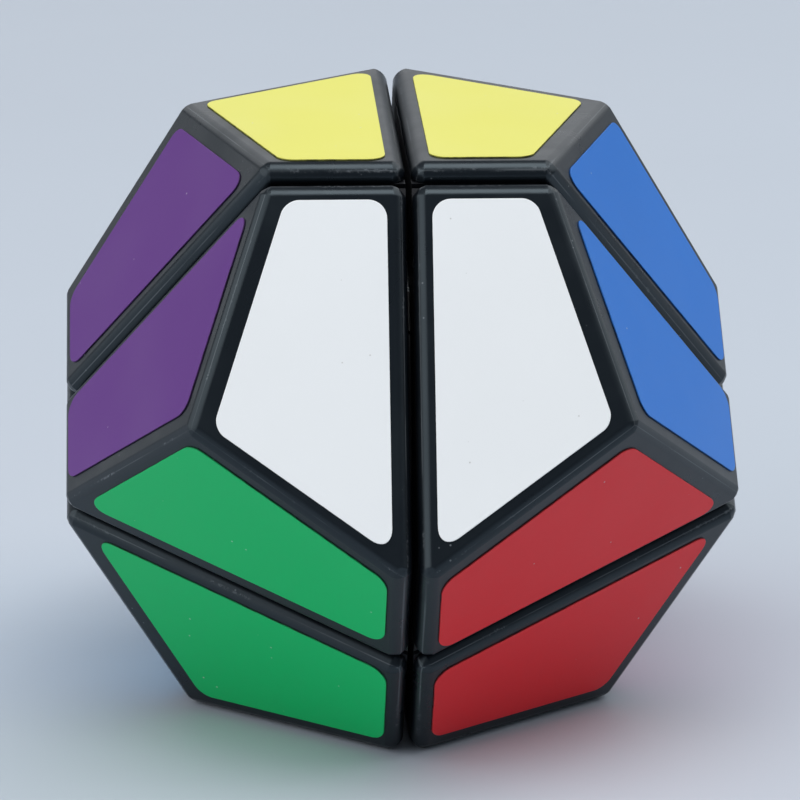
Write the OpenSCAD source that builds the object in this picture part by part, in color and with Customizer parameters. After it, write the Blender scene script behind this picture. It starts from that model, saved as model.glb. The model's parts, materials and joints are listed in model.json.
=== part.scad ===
// Dodecahedron twisty puzzle: eight hollow corner pieces around a six-armed sprung core.
// The puzzle is drawn about its own three turning axes and then tipped to stand on a face.
// Turning axes: X to the right, Y to the back, Z to the upper layer. Three planes through the
// centre, x = 0, y = 0 and z = 0, cut the dodecahedron into its eight corner pieces.

/* [Body] */
// Length of every edge of the dodecahedron, measured before its edges are rounded
edge_len = 26; // [24:0.5:34]
// Radius of the rounding along every outer edge of a corner piece
edge_round = 1.3; // [0.8:0.1:1.6]
// Gap between neighbouring corner pieces
seam_gap = 0.6; // [0.4:0.1:1]
// Wall of the outer shells
shell_wall = 2; // [1.6:0.1:2.6]
// Wall of the inner halves of the corner pieces
base_wall = 1.6; // [1.2:0.1:2.2]

/* [Shell posts] */
// Radius of the post that plugs each shell onto its base
post_r = 2.2; // [1.6:0.1:2.8]
// Radial clearance of the post in its socket
post_fit = 0.02; // [0.01:0.01:0.08]
// Wall of the socket around the post
socket_wall = 1.3; // [1:0.1:1.8]
// Height that the socket stays below the shell
socket_relief = 1; // [0.5:0.1:2]

/* [Stickers] */
// Thickness of a vinyl sticker
sticker_t = 0.15; // [0.1:0.05:0.3]
// Distance from a sticker to the roof edge, where two layers meet
roof_border = 3; // [2.8:0.1:4]
// Distance from a sticker to the seam through the middle of its face
seam_border = 2.05; // [1.95:0.05:3]
// Distance from a sticker to the edges inside its own corner piece
side_border = 2; // [1.5:0.1:3]
// Corner radius of a sticker
sticker_r = 1.8; // [1:0.1:2.5]
// Corner radius at the narrow tip of a sticker
sticker_tip_r = 1.3; // [0.8:0.1:2]

/* [Turning mechanism] */
// Clearance on each side of every turning surface
play = 0.15; // [0.1:0.01:0.25]
// Diameter of the ball in the middle of the core
core_d = 16; // [14:0.5:17]
// Height that the core's arms stand out of the ball
arm_rise = 1.6; // [1:0.1:2.4]
// Wall of a centre cap's stalk around its spring
stalk_wall = 1.3; // [1:0.1:1.8]
// Width of the lip that holds each piece under its neighbour
lip = 2.8; // [2:0.1:3.4]
// Width of a corner piece's neck where it passes between the inner edges
neck_w = 5; // [4:0.1:6]
// Thickness of the spherical deck of caps and inner edges
deck_t = 5.4; // [4.8:0.1:6.4]
// Radius that trims the pointed ends off a corner piece's foot
foot_r = 7; // [5:0.5:8]

/* [Screws and springs] */
// Diameter of a screw's shank
screw_d = 3; // [2.5:0.1:3.4]
// Depth of the thread in the core
thread_len = 6.6; // [5:0.2:6.8]
// Radial clearance of the shank in the core
thread_fit = 0.02; // [0.01:0.01:0.05]
// Distance from the rim of a screw's head in to the outside of its spring
head_inset = 0.1; // [0.05:0.05:0.3]
// Height of a screw's head
head_h = 2; // [1.4:0.1:2.2]
// Width of the cross slot in a screw's head
slot_w = 0.8; // [0.6:0.1:1]
// Length of the cross slot in a screw's head
slot_len = 3.4; // [2.6:0.1:4]
// Depth of the cross slot in a screw's head
slot_depth = 1.1; // [0.6:0.1:1.2]
// Outer diameter of a tension spring
spring_od = 5.2; // [4.8:0.1:5.6]
// Diameter of the spring's wire
wire_d = 0.7; // [0.5:0.05:0.8]
// Length of a fitted spring
spring_len = 4.5; // [4:0.1:5]
// Number of turns of a spring
spring_turns = 4; // [3:1:5]
// Clearance of the spring inside the stalk
spring_fit = 0.2; // [0.15:0.05:0.3]
// Thickness of the washer under a spring
washer_t = 0.5; // [0.3:0.1:0.8]
// Thickness of the floor of a centre cap's well
cap_floor = 1.8; // [1.4:0.1:2.2]

/* [Hidden] */
$fn = 48;
// Facets of the rounding: a small number keeps the eight shells light.
round_fn = 16;
wire_fn = 6;
wire_steps = 12;
// Cuts run this far past the face that they open.
cut = 0.1;

golden = (1 + sqrt(5)) / 2;
// Each face leans this far from the turning axis that it is nearest to.
tilt = atan(1 / golden);
lean_y = sin(tilt);
lean_z = cos(tilt);
face_apothem = edge_len / (2 * tan(36));
inradius = edge_len * golden * golden / (2 * sqrt(3 - golden));
reach = 2 * edge_len;
face_in = inradius - shell_wall;
half_gap = seam_gap / 2;
stand_height = inradius + sticker_t;
// The octant's diagonal runs through the vertex in the middle of its corner piece.
diagonal_tilt = acos(1 / sqrt(3));
diagonal_in = sqrt(3) * face_in / (lean_y + lean_z);
diagonal_slope = tan(acos((lean_y + lean_z) / sqrt(3)));

// Radii and cut planes of the turning mechanism, from the centre outwards. Planes at
// stalk_cut part the feet under lip_r, and planes at deck_cut part the decks above it.
core_r = core_d / 2;
foot_in = core_r + 2 * play;
stalk_r = spring_od / 2 + spring_fit + stalk_wall;
head_d = spring_od - 2 * head_inset;
stalk_cut = stalk_r + play;
deck_cut = stalk_cut + lip;
lip_r = norm([deck_cut, deck_cut, deck_cut + neck_w / sqrt(2)]);
deck_r = lip_r + deck_t;
bowl_r = deck_r + play;
bowl_out = bowl_r + base_wall;

// Heights along each screw, from the centre.
arm_top = core_r + arm_rise;
cap_low = arm_top + play;
washer_low = cap_low + cap_floor;
spring_low = washer_low + washer_t;
head_low = spring_low + spring_len;
head_top = head_low + head_h;
well_r = spring_od / 2 + spring_fit;
socket_r = post_r + post_fit + socket_wall;
socket_top = diagonal_in - diagonal_slope * socket_r - socket_relief;
post_low = bowl_out + cut;

// A piece belongs to one octant, given by the signs of X, Y and Z. turn cycles X to Y to Z.
CORNERS = [for (z = [1, -1], y = [-1, 1], x = [-1, 1])
    [str(z > 0 ? "upper" : "lower", y < 0 ? "_front" : "_back", x < 0 ? "_left" : "_right"), [x, y, z]]];

// Name, octant signs and turn of each centre cap and its screw, washer and spring
AXES = [
    ["upper", [1, 1, 1], 0], ["lower", [1, 1, -1], 0],
    ["right", [1, 1, 1], 1], ["left", [-1, 1, 1], 1],
    ["back", [1, 1, 1], 2], ["front", [1, -1, 1], 2]];

// Name, octant signs and turn of each inner edge
EDGES = [
    ["upper_back", [1, 1, 1], 0], ["upper_front", [1, -1, 1], 0],
    ["lower_back", [1, 1, -1], 0], ["lower_front", [1, -1, -1], 0],
    ["upper_right", [1, 1, 1], 1], ["upper_left", [-1, 1, 1], 1],
    ["lower_right", [1, 1, -1], 1], ["lower_left", [-1, 1, -1], 1],
    ["middle_back_right", [1, 1, 1], 2], ["middle_back_left", [-1, 1, 1], 2],
    ["middle_front_right", [1, -1, 1], 2], ["middle_front_left", [-1, -1, 1], 2]];

// Name, colour, turn and octants of each face's stickers. A face that the z = 0 seam
// divides has its two stickers in two layers, so each is named by itself.
STICKERS = [
    ["yellow_stickers", "#EEE97B", 0, [[-1, 1, 1], [1, 1, 1]]],
    ["white_stickers", "#ECF0F2", 0, [[-1, -1, 1], [1, -1, 1]]],
    ["cream_stickers", "#EFE3C2", 0, [[-1, -1, -1], [1, -1, -1]]],
    ["grey_stickers", "#9A9EA3", 0, [[-1, 1, -1], [1, 1, -1]]],
    ["purple_stickers", "#6B3F8C", 1, [[-1, -1, 1], [-1, 1, 1]]],
    ["blue_stickers", "#3278CC", 1, [[1, -1, 1], [1, 1, 1]]],
    ["light_blue_stickers", "#7FC4E8", 1, [[-1, -1, -1], [-1, 1, -1]]],
    ["pink_stickers", "#F0A0B8", 1, [[1, -1, -1], [1, 1, -1]]],
    ["upper_green_sticker", "#1FA463", 2, [[-1, -1, 1]]],
    ["lower_green_sticker", "#1FA463", 2, [[-1, -1, -1]]],
    ["upper_red_sticker", "#B22A30", 2, [[1, -1, 1]]],
    ["lower_red_sticker", "#B22A30", 2, [[1, -1, -1]]],
    ["upper_light_green_sticker", "#8CCB4A", 2, [[1, 1, 1]]],
    ["lower_light_green_sticker", "#8CCB4A", 2, [[1, 1, -1]]],
    ["upper_orange_sticker", "#F08A2C", 2, [[-1, 1, 1]]],
    ["lower_orange_sticker", "#F08A2C", 2, [[-1, 1, -1]]]];

// ---- Placing ----

// Tips the puzzle so that its yellow face is level on top, and stands it on z = 0
module stand() translate([0, 0, stand_height]) rotate([tilt, 0, 0]) children();

// Carries a shape from the octant of positive X, Y and Z to another one
module place(signs, turn = 0)
    mirror([signs[0] < 0 ? 1 : 0, 0, 0])
    mirror([0, signs[1] < 0 ? 1 : 0, 0])
    mirror([0, 0, signs[2] < 0 ? 1 : 0])
    rotate(120 * turn, [1, 1, 1]) children();

module on_every_axis() for (a = AXES) place(a[1], a[2]) children();

// Turns Z onto the diagonal of the positive octant
module along_diagonal() rotate([0, diagonal_tilt, 45]) children();

function cycled(p, turns) = turns == 0 ? p : cycled([p[2], p[0], p[1]], turns - 1);

// ---- Shapes that several pieces share ----

// Everything below the three face planes of the positive octant, at this distance from the centre
module under_faces(distance)
    intersection_for (turn = [0:2])
        rotate(120 * turn, [1, 1, 1])
        rotate([-tilt, 0, 0])
        translate([-reach, -reach, distance - 2 * reach])
        cube(2 * reach);

// The space beyond low on all three axes
module beyond(low) translate([low, low, low]) cube(reach);

// The corners of the octant's block, bounded by low on each axis and by the three face planes
function block_points(low, distance) =
    let (roof = (distance - lean_y * low) / lean_z,
         side = (distance - lean_y * roof) / lean_z,
         vertex = distance / (lean_y + lean_z))
    concat(
        [[low, low, low], [vertex, vertex, vertex]],
        [for (turn = [0:2]) cycled([low, low, roof], turn)],
        [for (turn = [0:2]) cycled([side, low, roof], turn)]);

// Where two lines meet, each given by its normal's angle and its distance from the origin
function meet(a, b) =
    [a[1] * sin(b[0]) - b[1] * sin(a[0]), b[1] * cos(a[0]) - a[1] * cos(b[0])] / sin(b[0] - a[0]);

// Half of a pentagon face inset by the borders, with round corners. Each side is the angle of
// its outward normal and its distance from the middle of the face, and the radius of its end.
function sticker_outline(arc_steps = 6) =
    let (sides = [
        [-90, face_apothem - roof_border, sticker_r],
        [-18, face_apothem - side_border, sticker_r],
        [54, face_apothem - side_border, sticker_tip_r],
        [180, -seam_border, sticker_r]])
    [for (i = [0:3])
        let (a = sides[i],
             next = sides[(i + 1) % 4],
             b = [next[0] + (i == 3 ? 360 : 0), next[1]],
             r = a[2],
             centre = meet([a[0], a[1] - r], [b[0], b[1] - r]))
        for (k = [0:arc_steps])
            let (angle = a[0] + (b[0] - a[0]) * k / arc_steps)
            centre + r * [cos(angle), sin(angle)]];

// ---- Pieces of the mechanism ----

module core() stand() color("#D9D9D2") difference() {
    union() {
        sphere(core_r);
        on_every_axis() cylinder(arm_top, r = stalk_r - play);
    }
    on_every_axis()
        translate([0, 0, arm_top - thread_len - cut])
        cylinder(thread_len + 2 * cut, r = screw_d / 2 + thread_fit);
}

module axis_screws() stand() color("#B9BDC2") on_every_axis() difference() {
    union() {
        translate([0, 0, arm_top - thread_len]) cylinder(head_top - arm_top + thread_len, d = screw_d);
        translate([0, 0, head_low]) cylinder(head_h, d = head_d);
    }
    for (angle = [0, 90])
        rotate(angle)
        translate([-slot_len / 2, -slot_w / 2, head_top - slot_depth])
        cube([slot_len, slot_w, slot_depth + cut]);
}

module spring_washers() stand() color("#C9CCD0") on_every_axis()
    translate([0, 0, washer_low]) difference() {
        cylinder(washer_t, d = spring_od);
        translate([0, 0, -cut]) cylinder(washer_t + 2 * cut, r = screw_d / 2 + play);
    }

// One helical spring from spring_low to head_low, swept as a ring of wire_fn points
module tension_spring() {
    coil_r = (spring_od - wire_d) / 2;
    climb = (spring_len - wire_d) / (spring_turns * wire_steps);
    last = spring_turns * wire_steps;
    points = [for (i = [0:last], k = [0:wire_fn - 1])
        let (turn = 360 * i / wire_steps,
             around = 360 * k / wire_fn,
             r = coil_r + wire_d / 2 * sin(around))
        [r * cos(turn), r * sin(turn), spring_low + wire_d / 2 * (1 + cos(around)) + climb * i]];
    sides = [for (i = [0:last - 1], k = [0:wire_fn - 1])
        let (a = i * wire_fn + k, b = i * wire_fn + (k + 1) % wire_fn)
        [a, b, b + wire_fn, a + wire_fn]];
    ends = [
        [for (k = [wire_fn - 1:-1:0]) k],
        [for (k = [0:wire_fn - 1]) last * wire_fn + k]];
    polyhedron(points, concat(sides, ends), convexity = 6);
}

module tension_springs() stand() color("#A8ADB3") on_every_axis() tension_spring();

// A centre cap turns on its screw: a domed disc in the deck, and a stalk that holds the spring
module centre_cap(axis) stand() color("#1B1C1F") place(axis[1], axis[2]) difference() {
    union() {
        difference() {
            intersection() {
                cylinder(deck_r, r = deck_cut - play);
                sphere(deck_r - play);
            }
            sphere(lip_r + play);
        }
        translate([0, 0, cap_low]) cylinder(lip_r + play - cap_low, r = stalk_r);
    }
    translate([0, 0, washer_low]) cylinder(deck_r, r = well_r);
    cylinder(washer_low + cut, r = screw_d / 2 + play);
}

// An inner edge: a deck between two corner necks, and a foot under the lips of two caps
module inner_edge(edge) stand() color("#232427") place(edge[1], edge[2]) difference() {
    union() {
        difference() {
            edge_bar(deck_cut - play, deck_cut + play, deck_r - play);
            sphere(lip_r + play);
        }
        edge_bar(stalk_cut - play, stalk_cut + play, lip_r - play);
        edge_bar(stalk_cut - play, deck_cut + play, lip_r + 2 * play);
    }
    sphere(foot_in);
}

// A bar along X in the Y-Z corner, half_w to each side, inside a sphere
module edge_bar(half_w, low, radius) intersection() {
    translate([-half_w, low, low]) cube([2 * half_w, reach, reach]);
    sphere(radius);
}

// ---- Corner pieces ----

// The inner half of a corner piece: flat seam walls, a bowl that rides over the decks, a neck
// and a foot that the inner edges hold, and the socket for the shell's post
module corner_base(corner) stand() color("#1E1F22") place(corner[1]) {
    difference() {
        union() {
            difference() {
                intersection() {
                    beyond(half_gap);
                    under_faces(face_in);
                }
                difference() {
                    beyond(half_gap + base_wall);
                    sphere(bowl_out);
                }
                sphere(bowl_r);
            }
            intersection() {
                beyond(deck_cut + play);
                sphere(bowl_r + cut);
            }
            along_diagonal() translate([0, 0, bowl_r]) cylinder(socket_top - bowl_r, r = socket_r);
        }
        sphere(lip_r - play - cut);
        along_diagonal() translate([0, 0, bowl_out]) cylinder(reach, r = post_r + post_fit);
    }
    difference() {
        intersection() {
            beyond(stalk_cut + play);
            sphere(lip_r - play);
            along_diagonal() cylinder(lip_r, r = foot_r);
        }
        sphere(foot_in);
    }
}

// The outer half of a corner piece: three faces that meet in a vertex, rounded all round
module corner_shell(corner) stand() color("#141518") place(corner[1]) {
    // The facets lie outside the true rounding, and the flat faces are then cut to size.
    round_r = edge_round / pow(cos(180 / round_fn), 2);
    difference() {
        intersection() {
            hull() for (p = block_points(half_gap + edge_round, inradius - edge_round))
                translate(p) sphere(round_r, $fn = round_fn);
            beyond(half_gap);
            under_faces(inradius);
        }
        under_faces(face_in);
    }
    along_diagonal() translate([0, 0, post_low]) cylinder(diagonal_in - post_low, r = post_r);
}

// ---- Stickers ----

module face_stickers(sticker) stand() color(sticker[1]) for (signs = sticker[3])
    place(signs, sticker[2])
    rotate([-tilt, 0, 0])
    translate([0, 0, inradius])
    linear_extrude(sticker_t) polygon(sticker_outline());

core();
axis_screws();
spring_washers();
tension_springs();
for (a = AXES) centre_cap(a);
for (e = EDGES) inner_edge(e);
for (c = CORNERS) corner_base(c);
for (c = CORNERS) corner_shell(c);
for (s = STICKERS) face_stickers(s);
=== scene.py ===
"""A two-layer dodecahedron twisty puzzle: eight moulded corner pieces with vinyl stickers.

The puzzle is drawn about its own turning axes (X right, Y back, Z to the upper layer) in the
octant where all three are positive, and each piece is then carried to its own octant.
"""

import json
import math

import bmesh
import bpy
from bpy.props import FloatProperty, FloatVectorProperty, IntProperty, PointerProperty
from mathutils import Matrix, Vector


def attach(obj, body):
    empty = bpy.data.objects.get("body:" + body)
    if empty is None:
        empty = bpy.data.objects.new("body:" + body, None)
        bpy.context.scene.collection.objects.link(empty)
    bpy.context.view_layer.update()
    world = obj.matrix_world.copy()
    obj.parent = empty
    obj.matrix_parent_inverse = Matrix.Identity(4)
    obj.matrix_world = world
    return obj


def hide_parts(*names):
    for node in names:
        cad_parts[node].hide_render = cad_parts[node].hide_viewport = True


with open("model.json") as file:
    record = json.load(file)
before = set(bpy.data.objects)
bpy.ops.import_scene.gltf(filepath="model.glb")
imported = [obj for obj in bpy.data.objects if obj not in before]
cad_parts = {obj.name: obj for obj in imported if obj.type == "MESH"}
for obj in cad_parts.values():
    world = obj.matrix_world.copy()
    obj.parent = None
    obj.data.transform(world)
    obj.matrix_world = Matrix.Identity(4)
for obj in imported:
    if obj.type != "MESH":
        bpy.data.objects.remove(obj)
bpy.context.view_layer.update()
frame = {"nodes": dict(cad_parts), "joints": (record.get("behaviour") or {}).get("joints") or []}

bl_info = {
    "name": "Dodecahedron Twisty Puzzle",
    "version": (1, 0, 0),
    "blender": (4, 5, 0),
    "location": "View3D > Sidebar > Puzzle",
    "description": "Builds the pieces, stickers and finishes of a two-layer dodecahedron puzzle",
    "category": "Object",
}

MM = 0.001
# A point this close to a cutting plane lies on it, in metres.
ON_PLANE = 1e-7
# The bevel's profile: blunter than a circle's 0.5, which would leave the sharp roof edges proud
ROOF_PROFILE = 0.42
GOLDEN = (1 + math.sqrt(5)) / 2
TILT = math.atan(1 / GOLDEN)
LEAN_Y, LEAN_Z = math.sin(TILT), math.cos(TILT)

JOINTS = {joint["name"]: joint for joint in frame["joints"]}
CENTRE = Vector(JOINTS["upper_turn"]["pos_m"])


def puzzle_matrix():
    """Carries puzzle coordinates to the frame's, from the joints' axes and their common centre"""
    axes = [JOINTS[name]["axis"] for name in ("right_cap_spin", "back_cap_spin", "upper_turn")]
    return Matrix.Translation(CENTRE) @ Matrix(axes).transposed().to_4x4()


PUZZLE = puzzle_matrix()

CORNERS = {
    f"{layer}_{depth}_{side}": (x, y, z)
    for layer, z in (("upper", 1), ("lower", -1))
    for depth, y in (("front", -1), ("back", 1))
    for side, x in (("left", -1), ("right", 1))
}

# Each sticker node: its colour, the turn that names its face, and the octants of its stickers.
# A sticker's borders are those that a hand left it, in millimetres: to the roof edge, to the
# upper and the lower edge inside its piece, and to the seam. None stands for the even borders.
STICKERS = {
    "yellow_stickers": (
        "yellow",
        0,
        {(1, 1, 1): (3.32, 2.21, 2.00, 2.11), (-1, 1, 1): (2.77, 1.77, 1.60, 2.08)},
    ),
    "white_stickers": (
        "white",
        0,
        {(1, -1, 1): (3.01, 2.02, 1.47, 2.08), (-1, -1, 1): (3.04, 2.11, 1.30, 2.17)},
    ),
    "purple_stickers": (
        "purple",
        1,
        {(-1, 1, 1): (3.25, 2.26, 2.14, 2.25), (-1, -1, 1): (2.96, 2.12, 1.84, 1.96)},
    ),
    "blue_stickers": (
        "blue",
        1,
        {(1, 1, 1): (2.96, 1.72, 1.85, 2.00), (1, -1, 1): (3.03, 1.98, 2.75, 1.83)},
    ),
    "upper_green_sticker": ("green", 2, {(-1, -1, 1): (3.02, 1.77, 1.34, 2.75)}),
    "lower_green_sticker": ("green", 2, {(-1, -1, -1): (2.61, 1.71, 2.67, 1.52)}),
    "upper_red_sticker": ("red", 2, {(1, -1, 1): (2.90, 2.16, 1.99, 1.69)}),
    "lower_red_sticker": ("red", 2, {(1, -1, -1): (2.75, 1.89, 2.11, 2.01)}),
    "cream_stickers": ("cream", 0, {(-1, -1, -1): None, (1, -1, -1): None}),
    "grey_stickers": ("grey", 0, {(-1, 1, -1): None, (1, 1, -1): None}),
    "light_blue_stickers": ("light_blue", 1, {(-1, -1, -1): None, (-1, 1, -1): None}),
    "pink_stickers": ("pink", 1, {(1, -1, -1): None, (1, 1, -1): None}),
    "upper_light_green_sticker": ("light_green", 2, {(1, 1, 1): None}),
    "lower_light_green_sticker": ("light_green", 2, {(1, 1, -1): None}),
    "upper_orange_sticker": ("orange", 2, {(-1, 1, 1): None}),
    "lower_orange_sticker": ("orange", 2, {(-1, 1, -1): None}),
}

# Outward angles of a sticker's four sides in the plane of its face: roof, upper, lower, seam.
SIDE_ANGLES = (-90, -18, 54, 180)

LINT = "#CBCBC8"
VINYL_COLOURS = {
    "yellow": "#DCD95C",
    "white": "#F6F8F8",
    "purple": "#5C277D",
    "blue": "#0070CE",
    "green": "#00BE69",
    "red": "#EB262F",
    "cream": "#EFE3C2",
    "grey": "#9A9EA3",
    "light_blue": "#7FC4E8",
    "pink": "#F0A0B8",
    "light_green": "#8CCB4A",
    "orange": "#F08A2C",
}


def linear(code):
    """The linear red, green and blue of an sRGB hex colour"""
    channels = [int(code[i : i + 2], 16) / 255 for i in (1, 3, 5)]
    return tuple(c / 12.92 if c <= 0.04045 else ((c + 0.055) / 1.055) ** 2.4 for c in channels)


def shaded(base, factor, lift=0):
    """A colour scaled and lifted, but no brighter than white"""
    return tuple(min(1, factor * c + lift) for c in base)


def length(name, description, millimetres):
    """A length that a user may change, given in millimetres"""
    return FloatProperty(
        name=name,
        description=description,
        default=millimetres * MM,
        min=0,
        precision=5,
        subtype="DISTANCE",
        unit="LENGTH",
    )


def colour(name, description, code):
    """A colour that a user may change, given as sRGB hex"""
    return FloatVectorProperty(
        name=name, description=description, default=linear(code), size=3, subtype="COLOR"
    )


# ---- What a user may change ----


class BodySizes(bpy.types.PropertyGroup):
    """Sizes of the eight outer shells"""

    edge_round: length("Edge rounding", "Radius of the rounding along every outer edge", 1.3)
    seam_gap: length("Seam gap", "Gap between neighbouring corner pieces", 0.6)
    shell_wall: length("Shell wall", "Wall of the outer shells", 2)
    round_steps: IntProperty(
        name="Rounding steps", description="Faces across each rounded edge", default=10, min=2
    )


class StickerSizes(bpy.types.PropertyGroup):
    """Sizes of the vinyl stickers"""

    thickness: length("Thickness", "Thickness of the vinyl", 0.15)
    roof_border: length("Roof border", "Distance to the edge between two layers", 3)
    seam_border: length("Seam border", "Distance to the seam through the face", 2.05)
    side_border: length("Side border", "Distance to the edges inside the piece", 2)
    corner_r: length("Corner radius", "Radius of the sticker's wide corners", 1.8)
    tip_r: length("Tip radius", "Radius at the sticker's narrow tip", 1.3)
    rim_round: length("Rim rounding", "Radius that the cutting die presses into the rim", 0.05)


class FinishColours(bpy.types.PropertyGroup):
    """Colours of the plastics, metals and stickers"""

    abs_black: colour("Black ABS", "Colour of the outer shells", "#080B10")
    abs_gloss: colour("ABS gloss", "Tint of the outer shells' shine", "#DDF3FF")
    # The scuff colour is also used for the painted highlight line along each ridge.
    abs_wear_and_highlight: colour("Worn ABS and ridge highlight", "Colour of scuffed plastic on the ridges", "#84898D")
    base_black: colour("Base ABS", "Colour of the inner halves of the corners", "#111216")
    nylon_black: colour("Black nylon", "Colour of the centre caps and inner edges", "#1A1B1E")
    core_white: colour("Core nylon", "Colour of the core", "#D9D9D2")
    zinc: colour("Zinc plate", "Colour of the screws and washers", "#C2C6CA")
    spring: colour("Spring steel", "Colour of the springs", "#A2A6AB")


class StageSettings(bpy.types.PropertyGroup):
    """Floor, light and camera"""

    floor: colour("Floor", "Colour of the plain floor", "#BCC4CE")
    sky: colour("Surround", "Colour of the light from all round", "#D8E3F2")
    surround: FloatProperty(
        name="Surround strength", description="Strength of the even light", default=0.26, min=0
    )
    key: FloatProperty(
        name="Key light", description="Power of the large soft light", default=5.8, unit="POWER"
    )
    lens: FloatProperty(
        name="Lens", description="Focal length of the camera", default=234.7, unit="CAMERA"
    )


# ---- Shapes ----


def face_normal(turn):
    """Outward normal of one of the three faces of the positive octant, in puzzle coordinates"""
    normal = (0, LEAN_Y, LEAN_Z)
    return Vector(normal[-turn:] + normal[:-turn])


def octant_matrix(signs, turn=0):
    """Carries the positive octant to the one of these signs, after turn steps of X to Y to Z"""
    return (
        PUZZLE
        @ Matrix.Diagonal((*signs, 1))
        @ Matrix.Rotation(math.radians(120 * turn), 4, Vector((1, 1, 1)))
    )


def slice_off(bm, point, normal):
    """Removes what lies on the normal's side of a plane, and closes the cut if there is a wall"""
    cut = bmesh.ops.bisect_plane(
        bm,
        geom=bm.verts[:] + bm.edges[:] + bm.faces[:],
        plane_co=point,
        plane_no=normal,
        dist=ON_PLANE,
        clear_outer=True,
    )["geom_cut"]
    rim = [e for e in cut if isinstance(e, bmesh.types.BMEdge) and e.is_boundary]
    bmesh.ops.holes_fill(bm, edges=rim, sides=0)


def shell_mesh(body, inradius):
    """The outer wall of one corner piece, with the rounding of each edge as its bevel weight.

    A cube is cut by the three face planes, its other sides are dropped, the three faces get the
    wall's thickness, and the three seam planes trim them.
    """
    bm = bmesh.new()
    low = body.seam_gap / 2
    overhang = 3 * body.shell_wall
    size = 2 * inradius
    middle = Vector.Fill(3, size / 2 - overhang)
    bmesh.ops.create_cube(bm, size=size, matrix=Matrix.Translation(middle))
    for turn in range(3):
        slice_off(bm, face_normal(turn) * inradius, face_normal(turn))
    bm.normal_update()
    normals = [face_normal(turn) for turn in range(3)]
    same_way = 1e-4
    sides = [f for f in bm.faces if min((f.normal - n).length for n in normals) > same_way]
    bmesh.ops.delete(bm, geom=sides, context="FACES")
    bmesh.ops.solidify(bm, geom=bm.faces[:], thickness=body.shell_wall)
    for axis in range(3):
        outward = -Matrix.Identity(3)[axis]
        slice_off(bm, -outward * low, outward)
    bmesh.ops.recalc_face_normals(bm, faces=bm.faces[:])

    weight = bm.edges.layers.float.new("bevel_weight_edge")
    # An inner face's normal adds up to -1.38, a seam wall's to -1 and an outer face's to 1.38.
    inner_sum = -1.2
    inner = [f for f in bm.faces if sum(f.normal) < inner_sum]
    outer_edges = [e for e in bm.edges if not any(f in inner for f in e.link_faces)]
    widest = max(math.tan(e.calc_face_angle() / 2) for e in outer_edges)
    for edge in outer_edges:
        edge[weight] = math.tan(edge.calc_face_angle() / 2) / widest
    return bm, widest


def ridge_attribute(mesh, body, inradius):
    """Stores how far up its rounded edge each point is: 0 on the flats and 1 on the ridge"""
    planes = [(face_normal(t), inradius) for t in range(3)]
    planes += [(-Matrix.Identity(3)[a], -body.seam_gap / 2) for a in range(3)]
    attribute = mesh.attributes.new("ridge", "FLOAT", "POINT")
    for vertex, item in zip(mesh.vertices, attribute.data):
        depths = sorted(max(0, distance - normal.dot(vertex.co)) for normal, distance in planes)
        item.value = depths[0] / max(depths[1], 0.01 * body.edge_round)


def meet(a, b):
    """Where two lines meet, each given by its normal's angle in degrees and its distance"""
    (angle_a, far_a), (angle_b, far_b) = a, b
    sin_a, cos_a = math.sin(math.radians(angle_a)), math.cos(math.radians(angle_a))
    sin_b, cos_b = math.sin(math.radians(angle_b)), math.cos(math.radians(angle_b))
    turned = math.sin(math.radians(angle_b - angle_a))
    return Vector((far_a * sin_b - far_b * sin_a, far_b * cos_a - far_a * cos_b, 0)) / turned


def add_half_sticker(bm, sizes, borders, apothem, matrix):
    """Adds one half-pentagon sticker: four corners rounded in plan, then given thickness"""
    roof, upper, lower, seam = borders
    sides = list(zip(SIDE_ANGLES, (apothem - roof, apothem - upper, apothem - lower, -seam)))
    radii = (sizes.corner_r, sizes.corner_r, sizes.tip_r, sizes.corner_r)
    part = bmesh.new()
    corners = [part.verts.new(meet(sides[i], sides[(i + 1) % 4])) for i in range(4)]
    part.faces.new(corners)
    for i, corner in enumerate(corners):
        turned = math.radians((SIDE_ANGLES[(i + 1) % 4] - SIDE_ANGLES[i]) % 360)
        bmesh.ops.bevel(
            part,
            geom=[corner],
            offset=radii[i] * math.tan(turned / 2),
            offset_type="OFFSET",
            affect="VERTICES",
            segments=10,
            profile=0.5,
            material=-1,
        )
    raised = bmesh.ops.extrude_face_region(part, geom=part.faces[:])["geom"]
    top = [v for v in raised if isinstance(v, bmesh.types.BMVert)]
    bmesh.ops.translate(part, vec=(0, 0, sizes.thickness), verts=top)
    bmesh.ops.recalc_face_normals(part, faces=part.faces[:])
    rim = [e for e in part.edges if all(v in top for v in e.verts)]
    bmesh.ops.bevel(
        part,
        geom=rim,
        offset=sizes.rim_round,
        offset_type="OFFSET",
        affect="EDGES",
        segments=2,
        profile=0.5,
        material=-1,
    )
    part.normal_update()
    # Rim faces take the second finish, which is darkened as painted shade, with patches of dirt.
    for face in part.faces:
        level = abs(face.normal.z)
        face.material_index = 0 if level > 0.5 else 1
        face.smooth = level < 0.999
    part.transform(matrix)
    laid = bpy.data.meshes.new("laid")
    part.to_mesh(laid)
    part.free()
    bm.from_mesh(laid)
    bpy.data.meshes.remove(laid)


def finished(name, bm, materials):
    """A new object at the origin, made of bm and these materials"""
    bmesh.ops.recalc_face_normals(bm, faces=bm.faces[:])
    mesh = bpy.data.meshes.new(name)
    bm.to_mesh(mesh)
    bm.free()
    for material in materials:
        mesh.materials.append(material)
    piece = bpy.data.objects.new(name, mesh)
    bpy.context.scene.collection.objects.link(piece)
    return piece


# ---- Finishes ----


def add_node(tree, kind, inputs=(), **settings):
    """Adds a node, with its settings and with a value or a link for each named input"""
    node = tree.nodes.new(kind)
    for name, value in settings.items():
        setattr(node, name, value)
    for name, value in dict(inputs).items():
        if isinstance(value, bpy.types.NodeSocket):
            tree.links.new(value, node.inputs[name])
        else:
            node.inputs[name].default_value = value
    return node


def per_metre(millimetres):
    """The scale of a pattern whose features are this many millimetres across"""
    return 1 / (millimetres * MM)


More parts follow.
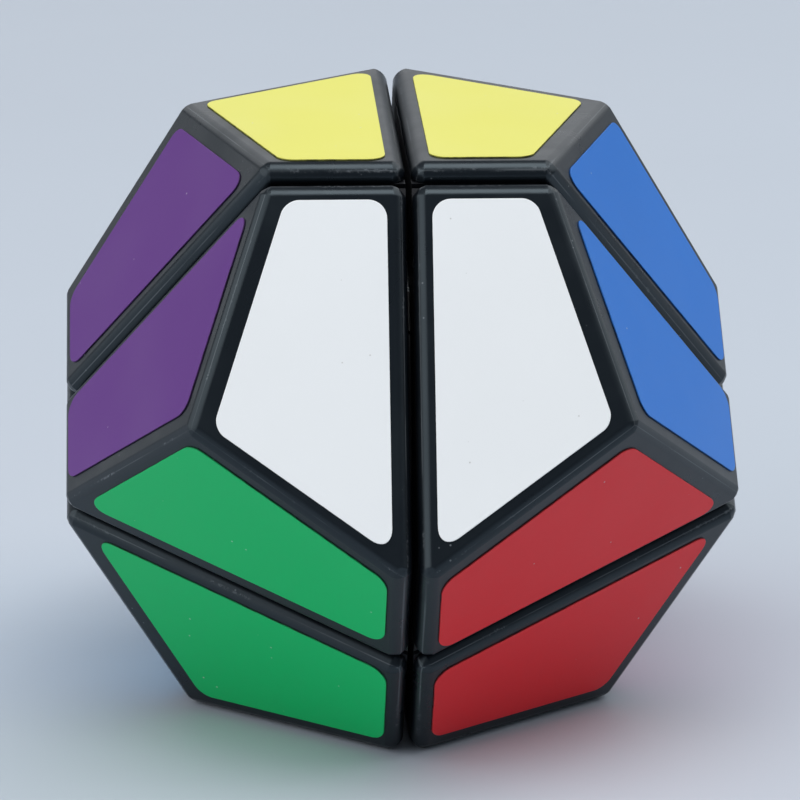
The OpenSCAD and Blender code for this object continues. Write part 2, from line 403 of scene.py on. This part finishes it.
def new_material(name, **uniform):
    """A material whose shader has these uniform values, its tree, and centred coordinates"""
    material = bpy.data.materials.new(name)
    material.use_nodes = True
    tree = material.node_tree
    shader = tree.nodes["Principled BSDF"]
    for socket, value in uniform.items():
        shader.inputs[socket.replace("_", " ")].default_value = value
    place = add_node(tree, "ShaderNodeTexCoord").outputs["Object"]
    centred = add_node(
        tree, "ShaderNodeMapping", {"Vector": place, "Location": -CENTRE}
    ).outputs["Vector"]
    return material, tree, shader, centred


def noise(tree, vector, millimetres, detail=2, roughness=0.5, distortion=0):
    """A noise pattern whose features are this many millimetres across"""
    return add_node(
        tree,
        "ShaderNodeTexNoise",
        {
            "Vector": vector,
            "Scale": per_metre(millimetres),
            "Detail": detail,
            "Roughness": roughness,
            "Distortion": distortion,
        },
    ).outputs["Fac"]


def remap(tree, value, low, high, to_low=0, to_high=1):
    """Maps low and high to two new values, smoothly and with nothing beyond them"""
    return add_node(
        tree,
        "ShaderNodeMapRange",
        {"Value": value, "From Min": low, "From Max": high, "To Min": to_low, "To Max": to_high},
        interpolation_type="SMOOTHSTEP",
    ).outputs["Result"]


def times(tree, a, b):
    """Two values multiplied"""
    return add_node(tree, "ShaderNodeMath", {0: a, 1: b}, operation="MULTIPLY").outputs[0]


def larger(tree, a, b):
    """The larger of two values"""
    return add_node(tree, "ShaderNodeMath", {0: a, 1: b}, operation="MAXIMUM").outputs[0]


def mixed(tree, factor, a, b):
    """A colour between two others"""
    node = add_node(tree, "ShaderNodeMix", {0: factor}, data_type="RGBA")
    for socket, value in ((node.inputs[6], a), (node.inputs[7], b)):
        if isinstance(value, bpy.types.NodeSocket):
            tree.links.new(value, socket)
        else:
            socket.default_value = (*value, 1)
    return node.outputs[2]


def bumped(tree, height, millimetres, strength=1, normal=None):
    """A bump whose full height is this many millimetres"""
    inputs = {"Height": height, "Distance": millimetres * MM, "Strength": strength}
    if normal is not None:
        inputs["Normal"] = normal
    return add_node(tree, "ShaderNodeBump", inputs).outputs["Normal"]


def specks(tree, vector, spacing, radius, share):
    """Scattered specks: cells of one spacing, each with a dot, of which only a share show"""
    cells = add_node(
        tree, "ShaderNodeTexVoronoi", {"Vector": vector, "Scale": per_metre(spacing)}
    )
    dot = remap(tree, cells.outputs["Distance"], radius / spacing, 0.4 * radius / spacing)
    channels = add_node(tree, "ShaderNodeSeparateColor", {"Color": cells.outputs["Color"]})
    pick = channels.outputs["Red"]
    return times(tree, dot, remap(tree, pick, 1 - share, 1 - share + 0.01))


def moulded_abs(name, base, gloss_tint, wear_and_highlight):
    """Injection-moulded black ABS, scuffed by hands, with a painted highlight on its ridges.

    The mould's fine spark finish gives a satin gloss that breaks up in a grain, handling leaves
    smoother and duller patches, and each ridge has pale scuffs. A thin, broken pale line along the
    crest of each ridge is a painted highlight, drawn in the scuff colour.
    """
    tint = (*gloss_tint, 1)
    material, tree, shader, centred = new_material(name, IOR=1.54, Specular_Tint=tint)
    # A spark finish is 0.05 mm across, too fine to show here, so it is drawn at 0.3 mm.
    grain = noise(tree, centred, 0.3, detail=1)
    swirl = noise(tree, centred, 9, detail=3, roughness=0.6)
    ridge = add_node(tree, "ShaderNodeAttribute", attribute_name="ridge").outputs["Fac"]
    patchy = remap(tree, noise(tree, centred, 7, detail=4, roughness=0.6), 0.52, 0.64)
    fine = remap(tree, noise(tree, centred, 0.4, detail=4, roughness=0.75), 0.46, 0.62)
    scuff = times(tree, times(tree, remap(tree, ridge, 0.5, 0.95), patchy), fine)
    # A thin, broken pale line on the crest of each ridge: a painted highlight, not wear.
    painted_highlight_patches = remap(tree, noise(tree, centred, 12, detail=3), 0.4, 0.6)
    line = times(tree, times(tree, remap(tree, ridge, 0.8, 0.95), painted_highlight_patches), 0.6)
    dust = specks(tree, centred, 1.1, 0.13, 0.12)
    wear_and_painted_highlight = larger(tree, larger(tree, scuff, line), dust)
    tree.links.new(mixed(tree, times(tree, wear_and_painted_highlight, 0.5), base, wear_and_highlight), shader.inputs["Base Color"])
    gloss = remap(tree, swirl, 0.35, 0.7, 0.27, 0.36)
    rough = larger(tree, gloss, times(tree, wear_and_painted_highlight, 0.6))
    tree.links.new(rough, shader.inputs["Roughness"])
    tree.links.new(
        bumped(tree, grain, 0.006, 0.6, bumped(tree, swirl, 0.03, 0.5)), shader.inputs["Normal"]
    )
    return material


def cast_vinyl(name, base):
    """Calendered vinyl film with a satin face: an even colour and soft, slightly wavy gloss."""
    material, tree, shader, centred = new_material(name, IOR=1.5, Specular_IOR_Level=0.3)
    peel = noise(tree, centred, 1.4, detail=2)
    sag = noise(tree, centred, 14, detail=1)
    tone = remap(tree, noise(tree, centred, 22, detail=2), 0.3, 0.7, 0, 0.08)
    film = mixed(tree, tone, base, shaded(base, 0.8))
    dust = specks(tree, centred, 1.3, 0.12, 0.12)
    dusty = mixed(tree, times(tree, dust, 0.8), film, linear(LINT))
    tree.links.new(dusty, shader.inputs["Base Color"])
    tree.links.new(remap(tree, sag, 0.3, 0.7, 0.3, 0.38), shader.inputs["Roughness"])
    tree.links.new(
        bumped(tree, peel, 0.004, 0.5, bumped(tree, sag, 0.12, 0.5)), shader.inputs["Normal"]
    )
    return material


def cut_vinyl_in_painted_shade(name, base):
    """The die-cut rim of the film, dull: darkened all round as painted shade along the sticker's
    edge, and darker still in patches where dirt settles against the adhesive.
    """
    material, tree, shader, centred = new_material(name, IOR=1.5)
    clean = remap(tree, noise(tree, centred, 1.1, detail=3), 0.35, 0.6)
    # Both tones are darker than the film as painted shade; the darker one also stands for dirt.
    soiled_in_painted_shade, clean_in_painted_shade = shaded(base, 0.25, 0.01), shaded(base, 0.6, 0.01)
    tree.links.new(mixed(tree, clean, soiled_in_painted_shade, clean_in_painted_shade), shader.inputs["Base Color"])
    tree.links.new(remap(tree, clean, 0, 1, 0.5, 0.7), shader.inputs["Roughness"])
    return material


def sliding_plastic(name, base, gloss):
    """Moulded nylon, burnished where it slides: waxy, with a faint mottle."""
    material, tree, shader, centred = new_material(name, IOR=1.48)
    mottle = noise(tree, centred, 4, detail=3)
    lighter = shaded(base, 1.25, 0.004)
    tree.links.new(mixed(tree, mottle, base, lighter), shader.inputs["Base Color"])
    tree.links.new(remap(tree, mottle, 0.3, 0.7, gloss, gloss + 0.12), shader.inputs["Roughness"])
    tree.links.new(bumped(tree, noise(tree, centred, 0.4), 0.008, 0.6), shader.inputs["Normal"])
    return material


def drawn_metal(name, base, gloss, streak):
    """Plated or drawn steel: bright, with fine lines left by drawing and handling."""
    material, tree, shader, centred = new_material(name, Metallic=1)
    lines = noise(tree, centred, streak, detail=4, distortion=1.5)
    tree.links.new(mixed(tree, lines, shaded(base, 0.7), base), shader.inputs["Base Color"])
    tree.links.new(remap(tree, lines, 0.3, 0.7, gloss, gloss + 0.15), shader.inputs["Roughness"])
    tree.links.new(bumped(tree, lines, 0.005, 0.5), shader.inputs["Normal"])
    return material


def matt_paint(name, base):
    """Rolled wall paint: matt, with a barely visible unevenness in tone and gloss."""
    material, tree, shader, centred = new_material(name, IOR=1.45)
    tone = noise(tree, centred, 60, detail=2)
    tree.links.new(mixed(tree, tone, base, shaded(base, 0.97)), shader.inputs["Base Color"])
    sheen = noise(tree, centred, 25)
    tree.links.new(remap(tree, sheen, 0.3, 0.7, 0.7, 0.8), shader.inputs["Roughness"])
    return material


def finish_nodes(names, material):
    """Gives CAD nodes their finish"""
    for name in names:
        node = frame["nodes"][name]
        if not node.material_slots:
            node.data.materials.append(material)
        for item in node.material_slots:
            item.material = material


# ---- Pieces ----


class PUZZLE_OT_corner_shells(bpy.types.Operator):
    """Makes the eight outer shells, every outer edge rounded, scuffed and given a painted
    highlight
    """

    bl_idname = "puzzle.corner_shells"
    bl_label = "Corner Shells"

    def execute(self, context):
        scene = context.scene
        body, colours = scene.puzzle_body, scene.puzzle_colours
        inradius = CENTRE.z - scene.puzzle_stickers.thickness
        plastic = moulded_abs(
            "moulded_abs", colours.abs_black, colours.abs_gloss, colours.abs_wear_and_highlight
        )
        for name, signs in CORNERS.items():
            bm, widest = shell_mesh(body, inradius)
            for face in bm.faces:
                face.smooth = True
            piece = finished(f"shell_{name}", bm, [plastic])
            rounding = piece.modifiers.new("rounding", "BEVEL")
            rounding.limit_method = "WEIGHT"
            rounding.offset_type = "OFFSET"
            rounding.width = body.edge_round * widest
            rounding.segments = body.round_steps
            rounding.profile = ROOF_PROFILE
            rounding.use_clamp_overlap = False
            evaluated = piece.evaluated_get(context.evaluated_depsgraph_get())
            mesh = bpy.data.meshes.new_from_object(evaluated)
            mesh.name = piece.name
            piece.modifiers.clear()
            piece.data = mesh
            ridge_attribute(mesh, body, inradius)
            mesh.transform(octant_matrix(signs))
            if signs[0] * signs[1] * signs[2] < 0:
                mesh.flip_normals()
            flats = piece.modifiers.new("flats", "WEIGHTED_NORMAL")
            flats.keep_sharp = True
            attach(piece, "upper_layer" if signs[2] > 0 else "lower_layer")
            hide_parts(f"{name}_shell")
        return {"FINISHED"}


class PUZZLE_OT_stickers(bpy.types.Operator):
    """Makes the 24 half-pentagon stickers, each where it was laid by hand"""

    bl_idname = "puzzle.stickers"
    bl_label = "Stickers"

    def execute(self, context):
        sizes = context.scene.puzzle_stickers
        inradius = CENTRE.z - sizes.thickness
        edge = inradius * 2 * math.sqrt(3 - GOLDEN) / GOLDEN**2
        apothem = edge / (2 * math.tan(math.radians(36)))
        nominal = (sizes.roof_border, sizes.side_border, sizes.side_border, sizes.seam_border)
        on_face = Matrix.Rotation(-TILT, 4, "X") @ Matrix.Translation((0, 0, inradius))
        films = {}
        for name, (film, turn, laid) in STICKERS.items():
            if film not in films:
                base = linear(VINYL_COLOURS[film])
                # The rim's finish paints shade along each sticker's edge, with patches of dirt.
                rim = cut_vinyl_in_painted_shade(f"{film}_vinyl_rim_painted_shade", base)
                films[film] = [cast_vinyl(f"{film}_vinyl", base), rim]
            bm = bmesh.new()
            for signs, borders in laid.items():
                borders = [b * MM for b in borders] if borders else nominal
                add_half_sticker(bm, sizes, borders, apothem, octant_matrix(signs, turn) @ on_face)
            piece = finished(name.replace("sticker", "film"), bm, films[film])
            layer = {signs[2] for signs in laid}.pop()
            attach(piece, "upper_layer" if layer > 0 else "lower_layer")
            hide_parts(name)
        return {"FINISHED"}


class PUZZLE_OT_corner_bases(bpy.types.Operator):
    """Finishes the eight inner halves of the corner pieces"""

    bl_idname = "puzzle.corner_bases"
    bl_label = "Corner Bases"

    def execute(self, context):
        colours = context.scene.puzzle_colours
        plastic = sliding_plastic("moulded_abs_base", colours.base_black, 0.38)
        finish_nodes([f"{name}_base" for name in CORNERS], plastic)
        return {"FINISHED"}


class PUZZLE_OT_mechanism(bpy.types.Operator):
    """Finishes the centre caps, the inner edges and the core"""

    bl_idname = "puzzle.mechanism"
    bl_label = "Mechanism"

    def execute(self, context):
        colours = context.scene.puzzle_colours
        black_nylon = sliding_plastic("moulded_black_nylon", colours.nylon_black, 0.3)
        nylon = sliding_plastic("moulded_nylon", colours.core_white, 0.42)
        moving = [n for n in frame["nodes"] if n.endswith(("_cap", "_edge"))]
        finish_nodes(moving, black_nylon)
        finish_nodes(["core"], nylon)
        return {"FINISHED"}


class PUZZLE_OT_hardware(bpy.types.Operator):
    """Finishes the screws, washers and springs"""

    bl_idname = "puzzle.hardware"
    bl_label = "Screws and Springs"

    def execute(self, context):
        colours = context.scene.puzzle_colours
        plated = drawn_metal("zinc_plated_steel", colours.zinc, 0.22, 0.8)
        drawn = drawn_metal("drawn_spring_steel", colours.spring, 0.3, 0.4)
        finish_nodes(["axis_screws", "spring_washers"], plated)
        finish_nodes(["tension_springs"], drawn)
        return {"FINISHED"}


# ---- Stage ----

# Camera position from the middle of the puzzle, its line of sight, and its lean to one side
CAMERA_PLACE = Vector((-25.90, -491.84, 159.10)) * MM
CAMERA_SIGHT = Vector((0.05048, 0.95034, -0.30708))
CAMERA_LEAN = math.radians(0.428)

# Half the width of the floor, in metres
FLOOR_HALF = 6

# Each soft light: its position from the middle of the puzzle, its width and height, all in
# metres, and its share of the key light's power
LIGHTS = {
    "soft_top": ((0.0, -0.15, 0.85), (0.9, 0.6), 1.0),
    "soft_left": ((-0.8, -0.25, 0.28), (1.0, 1.0), 0.8),
    "soft_right": ((0.66, 0.25, 0.56), (1.0, 1.0), 0.64),
    "soft_back": ((0.0, 0.9, 0.4), (1.2, 0.4), 0.22),
    "rim_left": ((-0.65, 0.62, 0.14), (0.1, 0.3), 0.018),
    "rim_right": ((0.68, 0.62, 0.06), (0.1, 0.2), 0.008),
}


def looking(position, target):
    """Places an object at position so that its -Z looks at target and its Y is up"""
    turn = (target - position).to_track_quat("-Z", "Y").to_matrix().to_4x4()
    return Matrix.Translation(position) @ turn


class PUZZLE_OT_stage(bpy.types.Operator):
    """Sets the plain floor, the soft lights and the camera"""

    bl_idname = "puzzle.stage"
    bl_label = "Stage"

    def execute(self, context):
        scene = context.scene
        stage = scene.puzzle_stage

        bm = bmesh.new()
        bmesh.ops.create_grid(bm, x_segments=1, y_segments=1, size=FLOOR_HALF)
        material = matt_paint("matt_floor_paint", stage.floor)
        finished("floor", bm, [material])

        world = bpy.data.worlds.new("plain_surround")
        world.use_nodes = True
        background = world.node_tree.nodes["Background"]
        background.inputs["Color"].default_value = (*stage.sky, 1)
        background.inputs["Strength"].default_value = stage.surround
        scene.world = world

        for name, (place, size, share) in LIGHTS.items():
            light = bpy.data.lights.new(name, "AREA")
            light.shape = "RECTANGLE"
            light.size, light.size_y = size
            light.energy = stage.key * share
            lamp = bpy.data.objects.new(name, light)
            lamp.matrix_world = looking(CENTRE + Vector(place), CENTRE)
            scene.collection.objects.link(lamp)

        lens = bpy.data.cameras.new("camera")
        lens.lens = stage.lens
        lens.clip_start = 10 * MM
        camera = bpy.data.objects.new("camera", lens)
        place = CENTRE + CAMERA_PLACE
        level = looking(place, place + CAMERA_SIGHT)
        camera.matrix_world = level @ Matrix.Rotation(CAMERA_LEAN, 4, "Z")
        scene.collection.objects.link(camera)
        scene.camera = camera
        scene.view_settings.view_transform = "Standard"
        return {"FINISHED"}


OPERATORS = (
    PUZZLE_OT_corner_shells,
    PUZZLE_OT_stickers,
    PUZZLE_OT_corner_bases,
    PUZZLE_OT_mechanism,
    PUZZLE_OT_hardware,
    PUZZLE_OT_stage,
)
GROUPS = {
    "puzzle_body": BodySizes,
    "puzzle_stickers": StickerSizes,
    "puzzle_colours": FinishColours,
    "puzzle_stage": StageSettings,
}


class PUZZLE_PT_sidebar(bpy.types.Panel):
    """Lists the sizes, the colours and the buttons that build the puzzle"""

    bl_idname = "PUZZLE_PT_sidebar"
    bl_label = "Dodecahedron Puzzle"
    bl_space_type = "VIEW_3D"
    bl_region_type = "UI"
    bl_category = "Puzzle"

    def draw(self, context):
        for group, kind in GROUPS.items():
            box = self.layout.box()
            box.label(text=kind.__doc__)
            for name in kind.__annotations__:
                box.prop(getattr(context.scene, group), name)
        for operator in OPERATORS:
            self.layout.operator(operator.bl_idname)


def register():
    for kind in (*GROUPS.values(), *OPERATORS, PUZZLE_PT_sidebar):
        bpy.utils.register_class(kind)
    for name, kind in GROUPS.items():
        setattr(bpy.types.Scene, name, PointerProperty(type=kind))


def unregister():
    for name in GROUPS:
        delattr(bpy.types.Scene, name)
    for kind in (PUZZLE_PT_sidebar, *reversed(OPERATORS), *reversed(tuple(GROUPS.values()))):
        bpy.utils.unregister_class(kind)


def main():
    register()
    bpy.ops.puzzle.corner_shells()
    bpy.ops.puzzle.stickers()
    bpy.ops.puzzle.corner_bases()
    bpy.ops.puzzle.mechanism()
    bpy.ops.puzzle.hardware()
    bpy.ops.puzzle.stage()


if __name__ == "__main__":
    main()
